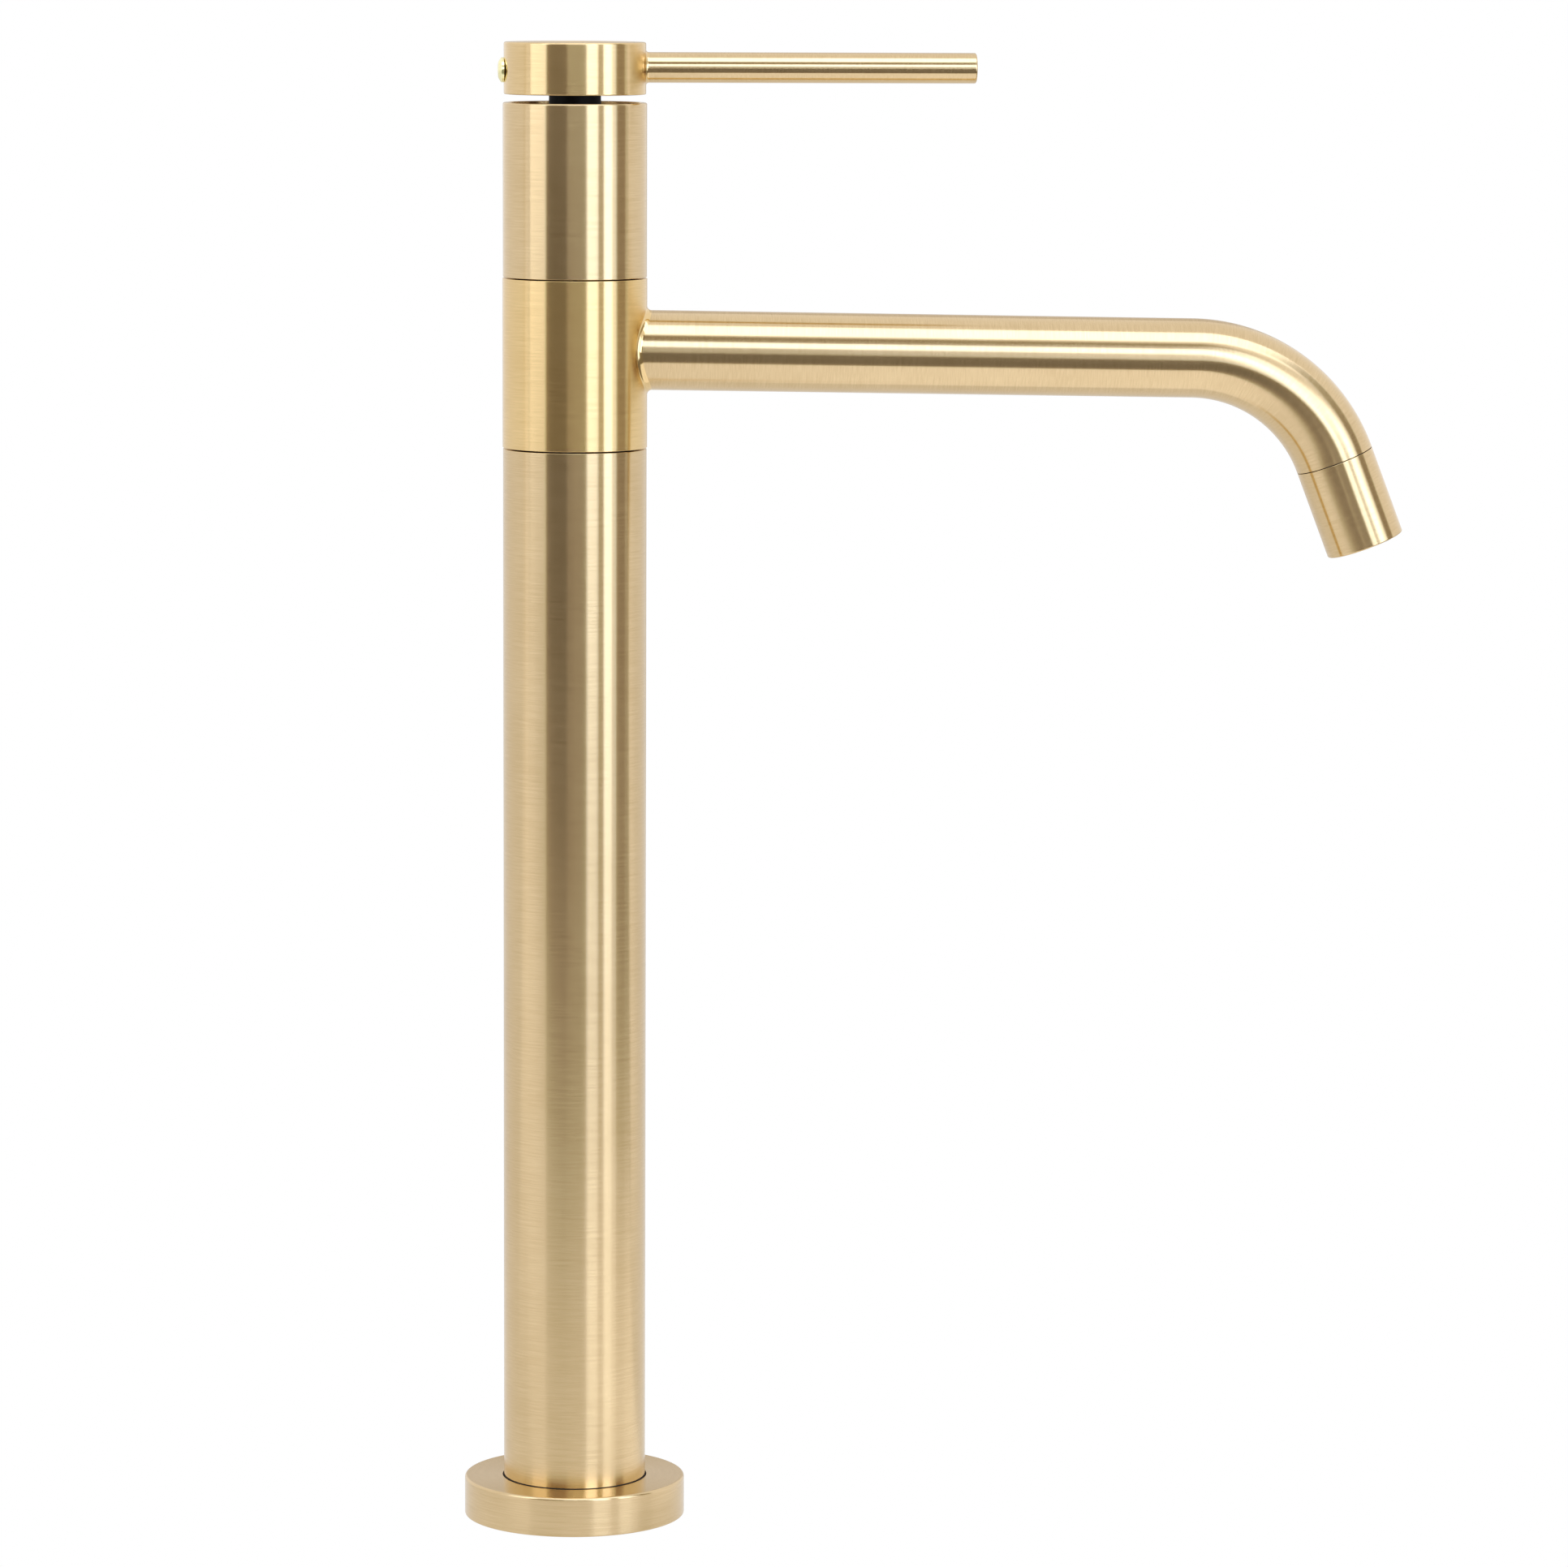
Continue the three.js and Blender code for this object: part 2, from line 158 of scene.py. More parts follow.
class Surface:
    """Collects faces with their normals and a UV map whose U runs along the axis and V around it."""

    def __init__(self):
        self.points = []
        self.faces = []
        self.corners = []

    def grid(self, rows, flip=False, polish=0.0):
        """rows holds lists of (point, normal, uv), all of one length."""
        first = len(self.points)
        width = len(rows[0])
        for row in rows:
            self.points.extend(cell[0] for cell in row)
        for j in range(len(rows) - 1):
            for i in range(width - 1):
                cells = [(j, i), (j, i + 1), (j + 1, i + 1), (j + 1, i)]
                if flip:
                    cells.reverse()
                self.faces.append([first + a * width + b for a, b in cells])
                self.corners.extend((rows[a][b][1], rows[a][b][2], polish) for a, b in cells)

    def lathe(self, outline, place=None):
        """Turns the outline round the Z axis, then moves it by the matrix place."""
        place = place or Matrix.Identity(4)
        turn_only = place.to_3x3()
        along = 0.0
        for a, na, b, nb in outline.stretches:
            rows = []
            length = (b - a).length
            for point, normal, u in ((a, na, along), (b, nb, along + length)):
                row = []
                for share, angle in round_angles(ROUND_STEPS):
                    c, s = math.cos(angle), math.sin(angle)
                    spot = place @ Vector((point.x * c, point.x * s, point.y))
                    face = turn_only @ Vector((normal.x * c, normal.x * s, normal.y))
                    row.append((spot, face, (u * MM, share)))
                rows.append(row)
            self.grid(rows)
            along += length

    def merged_points(self):
        """The points in metres with doubles merged, and where each point of the surface went."""
        merged, places = [], {}
        remap = []
        for p in self.points:
            key = (round(p.x, 4), round(p.y, 4), round(p.z, 4))
            if key not in places:
                places[key] = len(merged)
                merged.append((p.x * MM, p.y * MM, p.z * MM))
            remap.append(places[key])
        return merged, remap

    def mesh(self, name, warmth):
        """The mesh with its UV map, normals and attributes; faces that merging flattened are left out."""
        merged, remap = self.merged_points()
        faces, corners = [], []
        cursor = 0
        for face in self.faces:
            kept = []
            for k, v in enumerate(face):
                if remap[v] not in [remap[face[q]] for q in kept]:
                    kept.append(k)
            if len(kept) > 2:
                faces.append([remap[face[k]] for k in kept])
                corners.extend(self.corners[cursor + k] for k in kept)
            cursor += len(face)
        mesh = bpy.data.meshes.new(name)
        mesh.from_pydata(merged, [], faces)
        mesh.uv_layers.new(name="surface")
        marks = {"polish": [c[2] for c in corners], "warmth": [warmth] * len(corners)}
        for mark, values in marks.items():
            mesh.attributes.new(mark, "FLOAT", "CORNER").data.foreach_set("value", values)
        mesh.uv_layers["surface"].data.foreach_set("uv", [part for c in corners for part in c[1]])
        for polygon in mesh.polygons:
            polygon.use_smooth = True
        mesh.normals_split_custom_set([c[0].normalized() for c in corners])
        mesh.validate()
        return mesh


def piece(name, surface, material, body, node, warmth=0.0):
    """Shows a finished surface, in place of one CAD node unless node is None."""
    thing = bpy.data.objects.new(name, surface.mesh(name, warmth))
    bpy.context.scene.collection.objects.link(thing)
    thing.data.materials.append(material)
    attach(thing, body)
    if node:
        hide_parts(node)


def turned(name, corners, material, body, node, slot, place=None):
    """Shows a piece turned from one outline."""
    surface = Surface()
    surface.lathe(Outline(corners), place)
    piece(name, surface, material, body, node)


# ---- materials ----


class Nodes:
    """Short calls for building a material's node tree."""

    def __init__(self, name):
        self.material = bpy.data.materials.new(name)
        self.material.use_nodes = True
        self.tree = self.material.node_tree
        self.shader = self.tree.nodes["Principled BSDF"]

    def add(self, kind, **settings):
        node = self.tree.nodes.new(kind)
        for key, value in settings.items():
            setattr(node, key, value)
        return node

    def link(self, source, target):
        self.tree.links.new(source, target)

    def maths(self, operation, a, b=0.0):
        node = self.add("ShaderNodeMath", operation=operation)
        for socket, value in zip(node.inputs, (a, b)):
            if isinstance(value, (int, float)):
                socket.default_value = value
            else:
                self.link(value, socket)
        return node.outputs[0]

    def noise(self, vector, scale, detail=2.0, roughness=0.5):
        node = self.add("ShaderNodeTexNoise")
        node.inputs["Scale"].default_value = scale
        node.inputs["Detail"].default_value = detail
        node.inputs["Roughness"].default_value = roughness
        self.link(vector, node.inputs["Vector"])
        return node.outputs["Fac"]

    def around(self, along_scale, around_scale):
        """A seamless vector on a turned surface: stretched along the axis and wrapped round it."""
        uv = self.add("ShaderNodeUVMap", uv_map="surface")
        parts = self.add("ShaderNodeSeparateXYZ")
        self.link(uv.outputs["UV"], parts.inputs[0])
        angle = self.maths("MULTIPLY", parts.outputs["Y"], 2 * math.pi)
        vector = self.add("ShaderNodeCombineXYZ")
        self.link(self.maths("MULTIPLY", parts.outputs["X"], along_scale), vector.inputs[0])
        self.link(self.maths("MULTIPLY", self.maths("COSINE", angle), around_scale), vector.inputs[1])
        self.link(self.maths("MULTIPLY", self.maths("SINE", angle), around_scale), vector.inputs[2])
        return vector.outputs[0]

    def colours(self, factor, low, high):
        """A blend between two (position, colour) stops."""
        ramp = self.add("ShaderNodeValToRGB")
        for element, (position, colour) in zip(ramp.color_ramp.elements, (low, high)):
            element.position = position
            element.color = (*colour, 1)
        self.link(factor, ramp.inputs[0])
        return ramp.outputs[0]

    def attribute(self, name):
        return self.add("ShaderNodeAttribute", attribute_name=name).outputs["Fac"]

    def tinted(self, colour, amount, tint):
        """The colour multiplied by tint, by this amount."""
        node = self.add("ShaderNodeMixRGB", blend_type="MULTIPLY")
        self.link(amount, node.inputs[0])
        self.link(colour, node.inputs[1])
        node.inputs[2].default_value = (*tint, 1)
        return node.outputs[0]

    def ranged(self, factor, low, high):
        node = self.add("ShaderNodeMapRange")
        node.inputs["To Min"].default_value = low
        node.inputs["To Max"].default_value = high
        self.link(factor, node.inputs["Value"])
        return node.outputs[0]

    def bump(self, height, strength, distance):
        node = self.add("ShaderNodeBump")
        node.inputs["Strength"].default_value = strength
        node.inputs["Distance"].default_value = distance
        self.link(height, node.inputs["Height"])
        self.link(node.outputs[0], self.shader.inputs["Normal"])

    def mottled(self, grain, dark, light, roughness, spread):
        """Lets the colour and the roughness follow the grain."""
        self.link(self.colours(grain, (0.3, dark), (0.7, light)), self.shader.inputs["Base Color"])
        rough = self.ranged(grain, roughness - spread, roughness + spread)
        self.link(rough, self.shader.inputs["Roughness"])


def brushed_metal(name, dark, light, warm, roughness):
    """Plated metal brushed round its axis: fine rings, so that reflections smear along the axis.

    The attribute warmth leans the plating's colour to warm, and polish marks hand-polished fillets.
    """
    m = Nodes(name)
    m.shader.inputs["Metallic"].default_value = 1.0
    m.shader.inputs["Anisotropic"].default_value = 0.93
    strokes = m.noise(m.around(4200, 2.2), 1.0, detail=3.0, roughness=0.6)
    cloud = m.noise(m.around(55, 1.6), 1.0)
    shade = m.maths("ADD", m.maths("MULTIPLY", strokes, 0.7), m.maths("MULTIPLY", cloud, 0.3))
    plating = m.colours(shade, (0.36, dark), (0.64, light))
    m.link(m.tinted(plating, m.attribute("warmth"), warm), m.shader.inputs["Base Color"])
    brushed = m.ranged(shade, roughness - 0.006, roughness + 0.006)
    smoother = m.maths("MULTIPLY", m.attribute("polish"), 0.1)
    rough = m.maths("SUBTRACT", brushed, smoother)
    m.link(rough, m.shader.inputs["Roughness"])
    tangent = m.add("ShaderNodeTangent", direction_type="UV_MAP", uv_map="surface")
    m.link(tangent.outputs[0], m.shader.inputs["Tangent"])
    return m.material


def polished_metal(name, dark, light, roughness):
    """Plated metal polished in all directions, with a faint cloudiness."""
    m = Nodes(name)
    m.shader.inputs["Metallic"].default_value = 1.0
    cloud = m.noise(m.around(300, 2.0), 1.0, detail=3.0)
    m.mottled(cloud, dark, light, roughness, 0.03)
    return m.material


def moulded(name, dark, light, roughness):
    """Plastic, rubber or ceramic with a faint mottling."""
    m = Nodes(name)
    place = m.add("ShaderNodeTexCoord")
    grain = m.noise(place.outputs["Object"], 900, detail=3.0)
    m.mottled(grain, dark, light, roughness, 0.06)
    m.bump(grain, strength=0.08, distance=0.00005)
    return m.material


def machined(name, dark, light, roughness):
    """Bare metal with a faint turned grain, for pieces that carry no UV map."""
    m = Nodes(name)
    m.shader.inputs["Metallic"].default_value = 1.0
    place = m.add("ShaderNodeTexCoord")
    stretch = m.add("ShaderNodeMapping")
    stretch.inputs["Scale"].default_value = (60, 60, 2500)
    m.link(place.outputs["Object"], stretch.inputs[0])
    grain = m.noise(stretch.outputs[0], 1.0)
    m.mottled(grain, dark, light, roughness, 0.05)
    return m.material


def make_materials():
    return {
        "brushed_gold": brushed_metal(
            "brushed_gold", (0.67, 0.50, 0.29), (0.745, 0.567, 0.34), (1.14, 1.10, 0.96), 0.22),
        "polished_gold": polished_metal("polished_gold", (0.96, 0.89, 0.50), (1.0, 0.94, 0.58), 0.24),
        "raw_brass": machined("raw_brass", (0.48, 0.33, 0.13), (0.60, 0.42, 0.18), 0.36),
        "copper": machined("copper", (0.50, 0.22, 0.11), (0.62, 0.29, 0.15), 0.34),
        "steel": machined("steel", (0.45, 0.46, 0.48), (0.60, 0.61, 0.62), 0.28),
        "rubber": moulded("rubber", (0.010, 0.010, 0.010), (0.022, 0.022, 0.022), 0.75),
        "dark_plastic": moulded("dark_plastic", (0.012, 0.009, 0.008), (0.026, 0.021, 0.018), 0.5),
        "white_plastic": moulded("white_plastic", (0.68, 0.67, 0.63), (0.80, 0.79, 0.75), 0.45),
        "grey_plastic": moulded("grey_plastic", (0.24, 0.25, 0.27), (0.32, 0.33, 0.35), 0.45),
        "ceramic": moulded("ceramic", (0.80, 0.78, 0.73), (0.90, 0.88, 0.84), 0.2),
    }


# ---- column ----


def build_flange(gold):
    bore = COLUMN_RADIUS + 0.3
    groove_inner, groove_outer, groove_depth = 20.6, 25.2, 2.2
    turned("flange_surface", [
        (bore, 0.0, 0.1), (groove_inner, 0.0), (groove_inner, groove_depth), (groove_outer, groove_depth),
        (groove_outer, 0.0), (FLANGE_RADIUS, 0.0, 0.35), (FLANGE_RADIUS, FLANGE_HEIGHT, 0.7),
        (bore, FLANGE_HEIGHT, 0.12),
    ], gold, "faucet_body", "base_flange", "brushed_gold")


def build_lower_column(gold):
    foot = 5.3
    turned("lower_column_surface", [
        (COLUMN_BORE, foot), (COLUMN_RADIUS, foot, 0.3), (COLUMN_RADIUS, COLUMN_TOP, 0.12),
        (COLUMN_BORE, COLUMN_TOP, 0.2),
    ], gold, "faucet_body", "lower_column", "brushed_gold")


def build_upper_body(gold):
    recess_radius, recess_floor = 16.6, 351.5
    well_radius, well_top, well_floor = 12.9, 343.6, 320.8
    spindle_bore, web_bottom = 12.6, 317.4
    turned("upper_body_surface", [
        (COLUMN_BORE, BODY_BOTTOM, 0.2), (COLUMN_RADIUS, BODY_BOTTOM, 0.12), (COLUMN_RADIUS, BODY_TOP, 0.45),
        (recess_radius, BODY_TOP, 0.2), (recess_radius, recess_floor), (COLUMN_BORE, recess_floor),
        (COLUMN_BORE, well_top), (well_radius, well_top), (well_radius, well_floor),
        (spindle_bore, well_floor), (spindle_bore, web_bottom), (COLUMN_BORE, web_bottom),
    ], gold, "faucet_body", "upper_body", "brushed_gold")


# ---- spout ----

SPOUT_AIM = Vector((math.cos(SPOUT_SLOPE), 0, -math.sin(SPOUT_SLOPE)))
SPOUT_OVER = Vector((math.sin(SPOUT_SLOPE), 0, math.cos(SPOUT_SLOPE)))
OUTLET_AIM = Vector((math.sin(OUTLET_TILT), 0, -math.cos(OUTLET_TILT)))
SPOUT_ORIGIN = Vector((0, 0, SPOUT_RISE))
BEND_ANGLE = math.pi / 2 - OUTLET_TILT - SPOUT_SLOPE
BEND_REACH = BEND_RADIUS * math.tan(BEND_ANGLE / 2)
CORNER = SPOUT_ORIGIN + SPOUT_AIM * (SPOUT_CORNER / SPOUT_AIM.x)
BEND_START = CORNER - SPOUT_AIM * BEND_REACH
BEND_END = CORNER + OUTLET_AIM * BEND_REACH
OUTLET_PLACE = Matrix.Translation(BEND_END) @ Matrix.Rotation(math.pi - OUTLET_TILT, 4, "Y")


# How far before the bend the straight tube's cross-sections lie. The first is inside the ring.
TUBE_SECTIONS = (141.0, 120.0, 60.0, 20.0, 4.0)


def tube_path():
    """The tube's (centre, direction over it, length so far), from inside the ring to the end of the bend."""
    run = TUBE_SECTIONS[0]
    path = [(BEND_START - SPOUT_AIM * back, SPOUT_OVER, run - back) for back in TUBE_SECTIONS]
    for k in range(BEND_STEPS + 1):
        turn = BEND_ANGLE * k / BEND_STEPS
        spoke = SPOUT_OVER * math.cos(turn) + SPOUT_AIM * math.sin(turn)
        centre = BEND_START - SPOUT_OVER * BEND_RADIUS + spoke * BEND_RADIUS
        path.append((centre, spoke, run + BEND_RADIUS * turn))
    return path


def tube_rows(radius, inward):
    """The tube's outer or inner face, one row of cells for each cross-section."""
    rows = []
    for centre, over, along in tube_path():
        row = []
        for share, angle in round_angles(TUBE_STEPS):
            normal = over * math.cos(angle) + SIDEWAYS * math.sin(angle)
            row.append((centre + normal * radius, -normal if inward else normal, (along * MM, share)))
        rows.append(row)
    return rows


def build_spout_tube(gold):
    surface = Surface()
    surface.grid(tube_rows(SPOUT_RADIUS, False), flip=True)
    surface.grid(tube_rows(SPOUT_RADIUS - SPOUT_WALL, True))
    inside, back = SPOUT_RADIUS - 1.0, -3.0
    spigot_bore, spigot_radius, spigot_end = 7.2, 8.5, 6.0
    rim = Outline([
        (spigot_bore, back), (inside, back), (inside, -0.12), (SPOUT_RADIUS, -0.12, 0.08),
        (SPOUT_RADIUS, 0.0, 0.08), (spigot_radius, 0.0), (spigot_radius, spigot_end, 0.2),
        (spigot_bore, spigot_end, 0.2),
    ])
    surface.lathe(rim, OUTLET_PLACE)
    piece("spout_tube_surface", surface, gold, "spout", "spout_tube")


def reach_to_wall(base, axis, radius):
    """How far to go from base along axis to stand at this radius from the column's axis."""
    flat_axis = Vector((axis.x, axis.y))
    flat_base = Vector((base.x, base.y))
    a = flat_axis.length_squared
    b = flat_base.dot(flat_axis)
    c = flat_base.length_squared - radius ** 2
    return (-b + math.sqrt(b * b - a * c)) / a


def joint_fillet(surface, axis_point, axis, over, tube_radius, wall_radius, narrow, wide, steps):
    """A hand-blended fillet where a tube leaves a round vertical wall.

    Its rolling ball grows from narrow above and below the tube to wide at its sides.
    """
    across = 8
    rows = []
    for share, angle in round_angles(steps):
        tube_normal = over * math.cos(angle) + SIDEWAYS * math.sin(angle)
        ball = narrow + (wide - narrow) * math.sin(angle) ** 2
        base = axis_point + tube_normal * (tube_radius + ball)
        centre = base + axis * reach_to_wall(base, axis, wall_radius + ball)
        to_tube = -tube_normal
        to_wall = -Vector((centre.x, centre.y, 0)).normalized()
        row = []
        for k in range(across + 1):
            spoke = to_tube.slerp(to_wall, k / across)
            row.append((centre + spoke * ball, -spoke, (k / across * ball * MM, share)))
        rows.append(row)
    surface.grid(rows, flip=True, polish=1.0)


def build_spout_ring(gold):
    chamber_radius, chamber_bottom, chamber_top = 14.6, 284.0, 308.0
    surface = Surface()
    surface.lathe(Outline([
        (RING_BORE, RING_BOTTOM, 0.1), (RING_RADIUS, RING_BOTTOM, 0.12), (RING_RADIUS, RING_TOP, 0.12),
        (RING_BORE, RING_TOP, 0.1), (RING_BORE, chamber_top), (chamber_radius, chamber_top),
        (chamber_radius, chamber_bottom), (RING_BORE, chamber_bottom),
    ]))
    start, aim, over = SPOUT_ORIGIN, SPOUT_AIM, SPOUT_OVER
    joint_fillet(surface, start, aim, over, SPOUT_RADIUS, RING_RADIUS, 1.2, 2.3, TUBE_STEPS)
    piece("spout_ring_surface", surface, gold, "spout", "spout_ring", warmth=1.0)


def build_outlet_sleeve(gold):
    start, bore = 0.2, 8.8
    turned("outlet_sleeve_surface", [
        (bore, start), (SPOUT_RADIUS, start, 0.1), (SPOUT_RADIUS, SLEEVE_LENGTH, 0.35),
        (bore, SLEEVE_LENGTH, 0.35),
    ], gold, "spout", "outlet_sleeve", "brushed_gold", OUTLET_PLACE)


def build_aerator_body(grey):
    chamber_bore, start, lip, end = 7.3, 8.6, 21.6, 22.3
    turned("aerator_body_surface", [
        (chamber_bore, start), (AERATOR_RADIUS, start), (AERATOR_RADIUS, end, 0.3),
        (AERATOR_BORE, end, 0.2), (AERATOR_BORE, lip), (chamber_bore, lip),
    ], grey, "spout", "aerator_body", "grey_plastic", OUTLET_PLACE)


def build_aerator_gasket(rubber):
    start, end = 6.3, 8.3
    turned("aerator_gasket_surface", [
        (AERATOR_BORE, start, 0.3), (AERATOR_RADIUS, start, 0.3),
        (AERATOR_RADIUS, end, 0.3), (AERATOR_BORE, end, 0.3),
    ], rubber, "spout", "aerator_gasket", "rubber", OUTLET_PLACE)


def build_seam_shade_rings(rubber):
    """Dark rubber rings at the bottom of the two narrowest seams: painted shade, standing in for the shadow
    deep in each seam.
    """
    inner, outer, bottom, top = COLUMN_RADIUS + 0.02, COLUMN_RADIUS + 0.26, 9.3, 10.12
    turned("flange_seam_shade", [
        (inner, bottom), (outer, bottom), (outer, top), (inner, top),
    ], rubber, "faucet_body", None, "rubber")
    inner, outer, bottom, top = 8.52, SPOUT_RADIUS - 0.15, 0.02, 0.18
    turned("outlet_seam_shade", [
        (inner, bottom), (outer, bottom), (outer, top), (inner, top),
    ], rubber, "spout", None, "rubber", OUTLET_PLACE)


# ---- handle ----


def build_cap(gold):
    stem_bore, stem_top = 3.8, 371.5
    boss_radius, boss_bottom = 9.5, 362.2
    skirt_bore, ceiling = 16.4, 364.8
    surface = Surface()
    surface.lathe(Outline([
        (stem_bore, boss_bottom), (boss_radius, boss_bottom, 0.3), (boss_radius, ceiling, 0.4),
        (skirt_bore, ceiling, 0.6), (skirt_bore, CAP_BOTTOM, 0.15), (CAP_RADIUS, CAP_BOTTOM, 0.35),
        (CAP_RADIUS, CAP_TOP, 0.5), (0.0, CAP_TOP), (0.0, stem_top), (stem_bore, stem_top),
    ]))
    lever_start = Vector((0, 0, LEVER_HEIGHT))
    lever_aim = Vector((1, 0, 0))
    joint_fillet(surface, lever_start, lever_aim, UPWARD, LEVER_RADIUS, CAP_RADIUS, 0.7, 1.1, 64)
    piece("handle_cap_surface", surface, gold, "handle", "handle_cap", warmth=0.5)


def build_lever(gold):
    place = Matrix.Translation((0, 0, LEVER_HEIGHT)) @ Matrix.Rotation(math.pi / 2, 4, "Y")
    pin_radius, pin_start, pin_end = 2.5, 9.0, 15.0
    turned("lever_surface", [
        (0.0, pin_start), (pin_radius, pin_start), (pin_radius, pin_end), (LEVER_RADIUS, pin_end),
        (LEVER_RADIUS, LEVER_END, 0.5), (0.0, LEVER_END),
    ], gold, "handle", "lever_rod", "brushed_gold", place)


def build_plug(bright):
    place = Matrix.Translation((0, 0, PLUG_HEIGHT)) @ Matrix.Rotation(-math.pi / 2, 4, "Y")
    pin_radius, pin_start, head_start = 1.5, 13.0, 17.7
    head_radius, head_edge, dome_edge, dome_top = 3.1, 18.4, 19.15, 19.3
    turned("cap_plug_surface", [
        (0.0, pin_start), (pin_radius, pin_start), (pin_radius, head_start), (head_radius, head_start, 0.1),
        (head_radius, head_edge, 0.3), (2.0, dome_edge, 1.6), (0.0, dome_top),
    ], bright, "handle", "cap_plug", "polished_gold", place)


def build_neck(dark):
    bore, radius, bottom, top = 4.9, 6.5, 353.0, 361.9
    turned("stem_bush_surface", [
        (bore, bottom), (radius, bottom, 0.3), (radius, top), (bore, top),
    ], dark, "handle", "stem_bush", "dark_plastic")


def dress_hidden_nodes(frame, materials):
    """The pieces that nothing replaces keep their CAD meshes and get their slot's material."""
    slots = {row["node"]: row["material_slot"] for row in frame["record"]["subparts"]}
    for name, node in frame["nodes"].items():
        if node.hide_render:
            continue
        node.data.materials.clear()
        node.data.materials.append(materials[slots[name]])


# ---- studio ----

# The camera, fitted to the column's edges, the seams and the flange. SPOUT_TURN is how far the spout and
# the lever point away from the picture's plane.
CAMERA_SIDE = 52.85
CAMERA_DISTANCE = 1650.0
CAMERA_HEIGHT = 399.0
CAMERA_PITCH = math.radians(7.28)
CAMERA_ROLL = math.radians(0.25)
CAMERA_LENS = 151.2
SPOUT_TURN = math.radians(5.0)


def make_camera():
    turn = Matrix.Rotation(-SPOUT_TURN, 4, "Z")
    data = bpy.data.cameras.new("camera")
    data.lens = CAMERA_LENS
    data.sensor_width = 36.0
    data.clip_start = 0.05
    data.clip_end = 500.0
    camera = bpy.data.objects.new("camera", data)
    bpy.context.scene.collection.objects.link(camera)
    spot = Matrix.Translation(Vector((CAMERA_SIDE, -CAMERA_DISTANCE, CAMERA_HEIGHT)) * MM)
    tilt = Matrix.Rotation(math.pi / 2 - CAMERA_PITCH, 4, "X")
    roll = Matrix.Rotation(CAMERA_ROLL, 4, "Z")
    camera.matrix_world = turn @ spot @ tilt @ roll
    bpy.context.scene.camera = camera


# Panels stand round this point, in metres, and their bearings count from the camera's, to the right.
STUDIO_CENTRE = Vector((0, 0, 0.2))
CAMERA_BEARING = math.radians(3.2)

COOL = (0.74, 0.85, 1.0)
NEUTRAL = (0.93, 0.97, 1.0)
WARM_GREY = (1.0, 0.95, 0.88)

# Softboxes: name, bearing, elevation, width, height and lean in degrees as seen from the studio's centre,
# distance in metres, radiance, colour.
SOFTBOXES = (
    ("left_box", -61.5, 22, 28, 30, 0, 0.8, 1.3, NEUTRAL),
    ("right_box", 27.5, 16.5, 18, 38, 5, 3.6, 2.75, COOL),
    ("edge_box", 54.5, 6, 14, 34, 0, 1.3, 2.6, COOL),
    ("edge_falloff", 66, 6, 9, 34, 0, 1.3, 1.0, COOL),
    ("front_strip", 6, 25, 34, 16, 0, 1.3, 1.5, COOL),
    ("top_box", 12, 66, 96, 28, 0, 1.3, 1.8, COOL),
)

# Cards, all warm grey: name, bearing, elevation, width and height in degrees, distance in metres, and how
# pale the card is.
CARDS = (
    ("front_card", -29.5, -2, 35, 36, 1.35, 0.09),
    ("front_dim_card", -7, -2, 10, 36, 1.35, 0.2),
    ("front_grey_card", 8, -2, 20, 36, 3.5, 0.26),
    ("upper_card", -8, 41, 60, 18, 1.35, 0.3),
    ("dip_card", 42, 0, 8, 24, 1.35, 0.45),
    ("left_card", -88, 18, 4, 56, 1.35, 0.85),
    ("right_card", 78, 18, 20, 56, 1.35, 0.38),
    ("back_card", 176, 14, 34, 56, 1.35, 0.72),
)

# How pale the table is in reflections: name, left, right, near and far edges in metres, level.
TABLE_PARTS = (
    ("table_edge", -6.0, 6.0, -6.0, -0.45, 0.27),
    ("table_left", -6.0, -0.35, -0.45, 0.1, 1.05),
    ("table_front", -0.35, 0.06, -0.45, -0.03, 0.94),
    ("table_under_spout", 0.06, 0.5, -0.45, 0.04, 1.15),
    # table_foot and table_foot_right are painted shadow: the faucet's own shade on the table round its foot,
    # seen only in reflections.
    ("table_foot", -0.35, 0.06, -0.03, 0.3, 0.85),
    ("table_foot_right", 0.06, 0.5, 0.04, 0.3, 0.85),
    ("table_right", 0.5, 6.0, -0.45, 0.1, 0.25),
    ("table_far_left", -6.0, -0.35, 0.1, 6.0, 0.8),
    ("table_back", -0.35, 6.0, 0.3, 6.0, 0.8),
)

# The floor is what the camera sees. The table parts lie just above it and only show in reflections.
FLOOR_REACH = 150.0
FLOOR_HEIGHT = -0.0005
TABLE_HEIGHT = -0.0003

# Light values and what the tone curve shows them as.
TONE_POINTS = ((0.05, 0.027), (0.1, 0.07), (0.2, 0.175), (0.3, 0.295), (0.4, 0.4))


def flat_emission(name, level, tint):
    """A material that shines evenly, and is lit by nothing."""
    material = bpy.data.materials.new(name)
    material.use_nodes = True
    tree = material.node_tree
    tree.nodes.clear()
    emission = tree.nodes.new("ShaderNodeEmission")
    emission.inputs[0].default_value = (*(level * part for part in tint), 1)
    output = tree.nodes.new("ShaderNodeOutputMaterial")
    tree.links.new(emission.outputs[0], output.inputs[0])
    return material


def stage_plane(name, corners, level, seen, tint=(1.0, 1.0, 1.0)):
    """A flat shining panel of the stage. Unless seen, it shows in reflections only."""
    mesh = bpy.data.meshes.new(name)
    mesh.from_pydata(corners, [], [(0, 1, 2, 3)])
    mesh.materials.append(flat_emission(name, level, tint))
    plane = bpy.data.objects.new(name, mesh)
    bpy.context.scene.collection.objects.link(plane)
    plane.visible_camera = seen


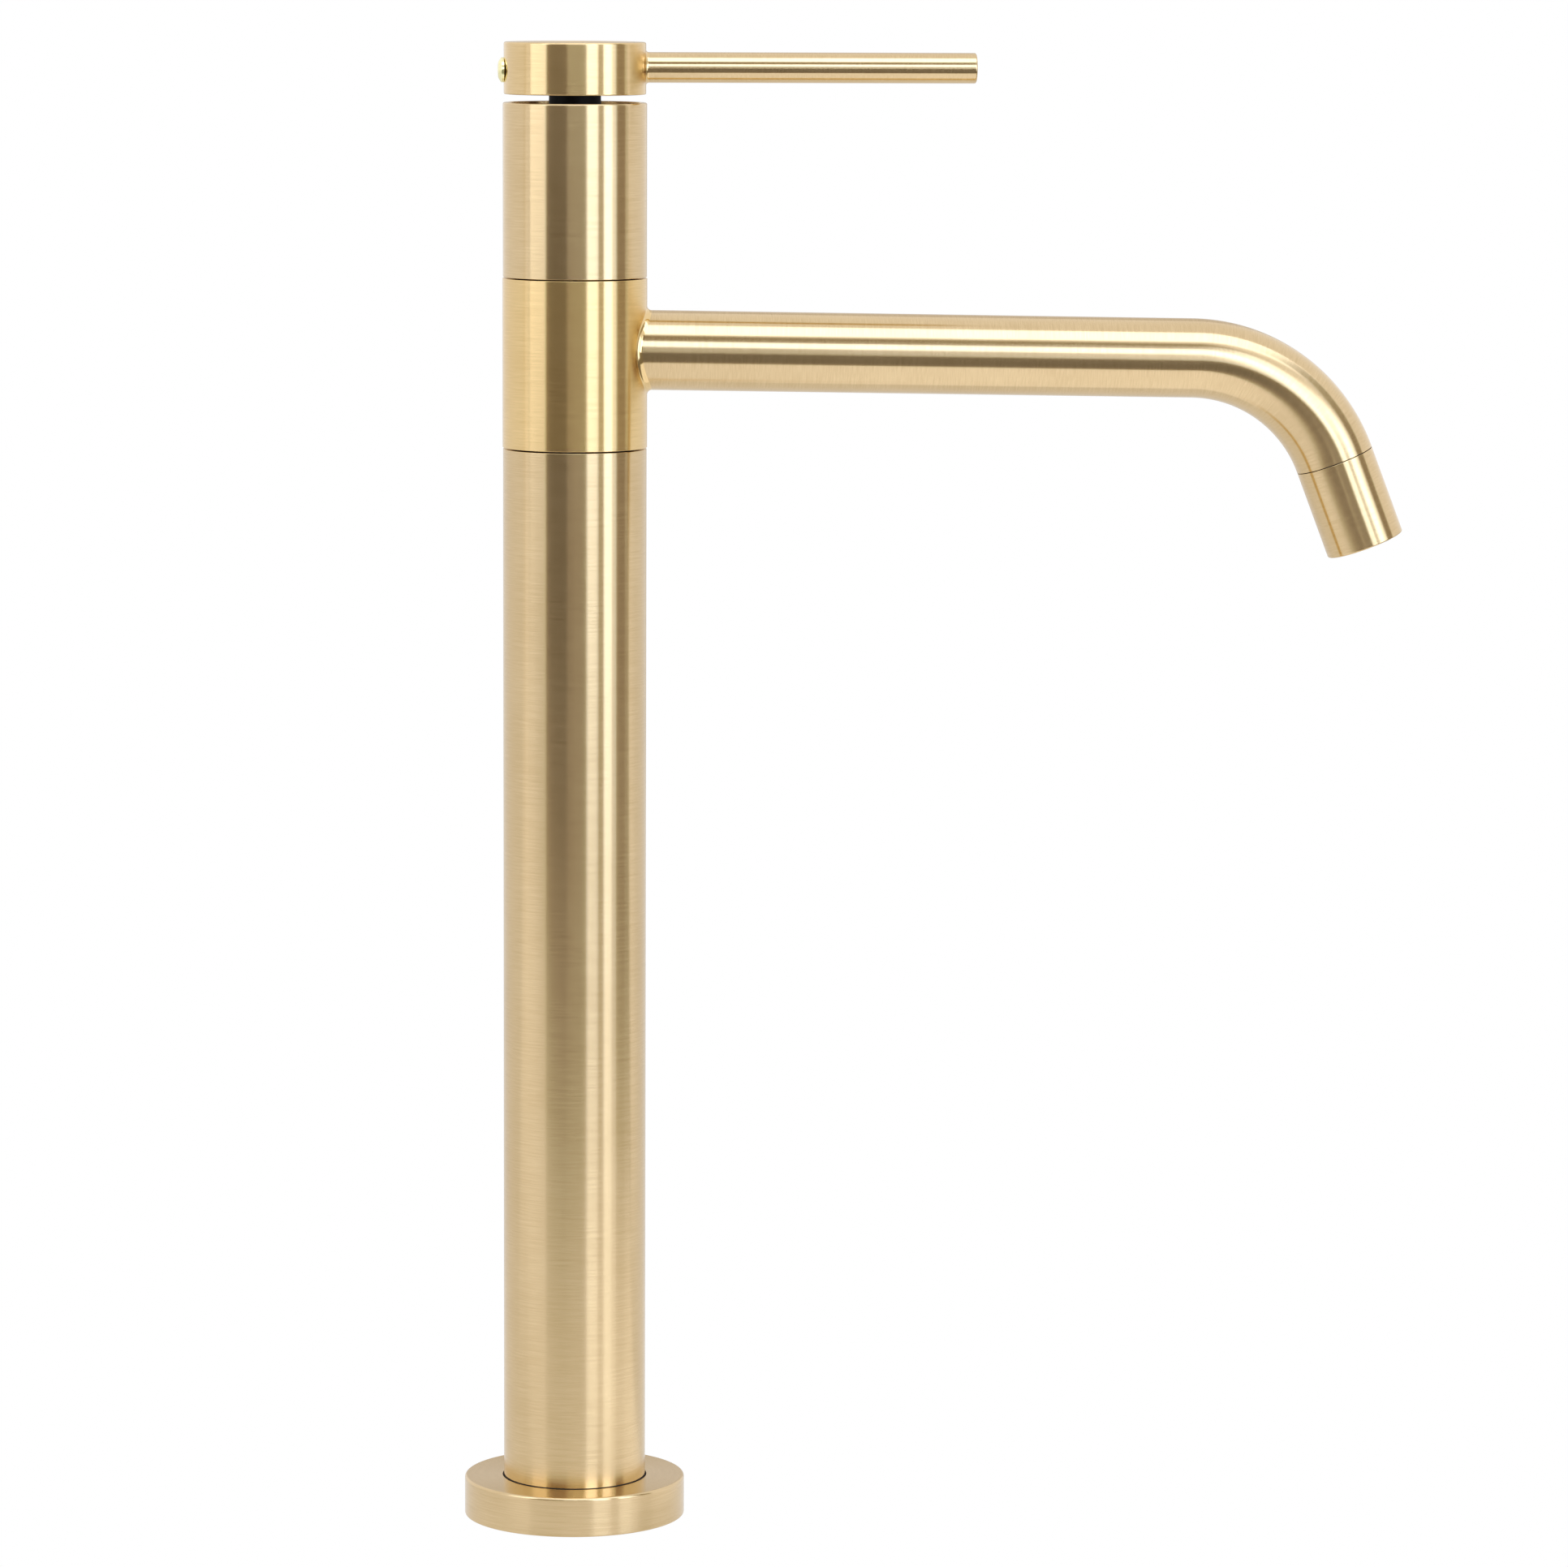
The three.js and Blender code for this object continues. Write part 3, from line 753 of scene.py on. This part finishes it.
def studio_place(bearing, elevation, lean, distance):
    """Where a panel stands that faces the faucet from this bearing and elevation."""
    turn = math.radians(bearing) - CAMERA_BEARING
    rise = math.radians(elevation)
    away = Vector((math.sin(turn) * math.cos(rise), -math.cos(turn) * math.cos(rise), math.sin(rise)))
    facing = (-away).to_track_quat("-Z", "Y").to_matrix().to_4x4()
    tilt = Matrix.Rotation(math.radians(lean), 4, "Z")
    return Matrix.Translation(STUDIO_CENTRE + away * distance) @ facing @ tilt


def spanned(degrees, distance):
    """How wide a panel at this distance has to be to span this angle."""
    return 2 * distance * math.tan(math.radians(degrees) / 2)


def make_softboxes():
    for name, bearing, elevation, width, height, lean, distance, radiance, colour in SOFTBOXES:
        data = bpy.data.lights.new(name, "AREA")
        data.shape = "RECTANGLE"
        data.size = spanned(width, distance)
        data.size_y = spanned(height, distance)
        data.color = colour
        data.energy = radiance * math.pi * data.size * data.size_y
        box = bpy.data.objects.new(name, data)
        bpy.context.scene.collection.objects.link(box)
        box.visible_camera = False
        box.matrix_world = studio_place(bearing, elevation, lean, distance)


def make_cards():
    for name, bearing, elevation, width, height, distance, level in CARDS:
        x, y = spanned(width, distance) / 2, spanned(height, distance) / 2
        place = studio_place(bearing, elevation, 0, distance)
        corners = [place @ Vector(corner) for corner in ((-x, -y, 0), (x, -y, 0), (x, y, 0), (-x, y, 0))]
        stage_plane(name, corners, level, False, WARM_GREY)


def level_plane(name, left, right, near, far, height, level, seen):
    corners = [(left, near, height), (right, near, height), (right, far, height), (left, far, height)]
    stage_plane(name, corners, level, seen)


def make_floor():
    level_plane("floor", -FLOOR_REACH, FLOOR_REACH, -FLOOR_REACH, FLOOR_REACH, FLOOR_HEIGHT, 1.0, True)
    for name, left, right, near, far, level in TABLE_PARTS:
        level_plane(name, left, right, near, far, TABLE_HEIGHT, level, False)


def make_world():
    world = bpy.data.worlds.new("studio")
    bpy.context.scene.world = world
    world.use_nodes = True
    background = world.node_tree.nodes["Background"]
    background.inputs[0].default_value = (1, 1, 1, 1)
    background.inputs[1].default_value = 1.0


def set_tone_curve():
    """Plain sRGB with slightly deeper shadows."""
    view = bpy.context.scene.view_settings
    view.view_transform = "Standard"
    view.use_curve_mapping = True
    all_channels = view.curve_mapping.curves[3]
    for light, shown in TONE_POINTS:
        all_channels.points.new(light, shown)
    view.curve_mapping.update()


def main():
    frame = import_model()
    materials = make_materials()
    gold = materials["brushed_gold"]
    build_flange(gold)
    build_lower_column(gold)
    build_upper_body(gold)
    build_spout_ring(gold)
    build_spout_tube(gold)
    build_outlet_sleeve(gold)
    build_aerator_body(materials["grey_plastic"])
    build_aerator_gasket(materials["rubber"])
    build_seam_shade_rings(materials["rubber"])
    build_cap(gold)
    build_lever(gold)
    build_plug(materials["polished_gold"])
    build_neck(materials["dark_plastic"])
    dress_hidden_nodes(frame, materials)
    make_floor()
    make_world()
    make_cards()
    make_softboxes()
    make_camera()
    set_tone_curve()


main()
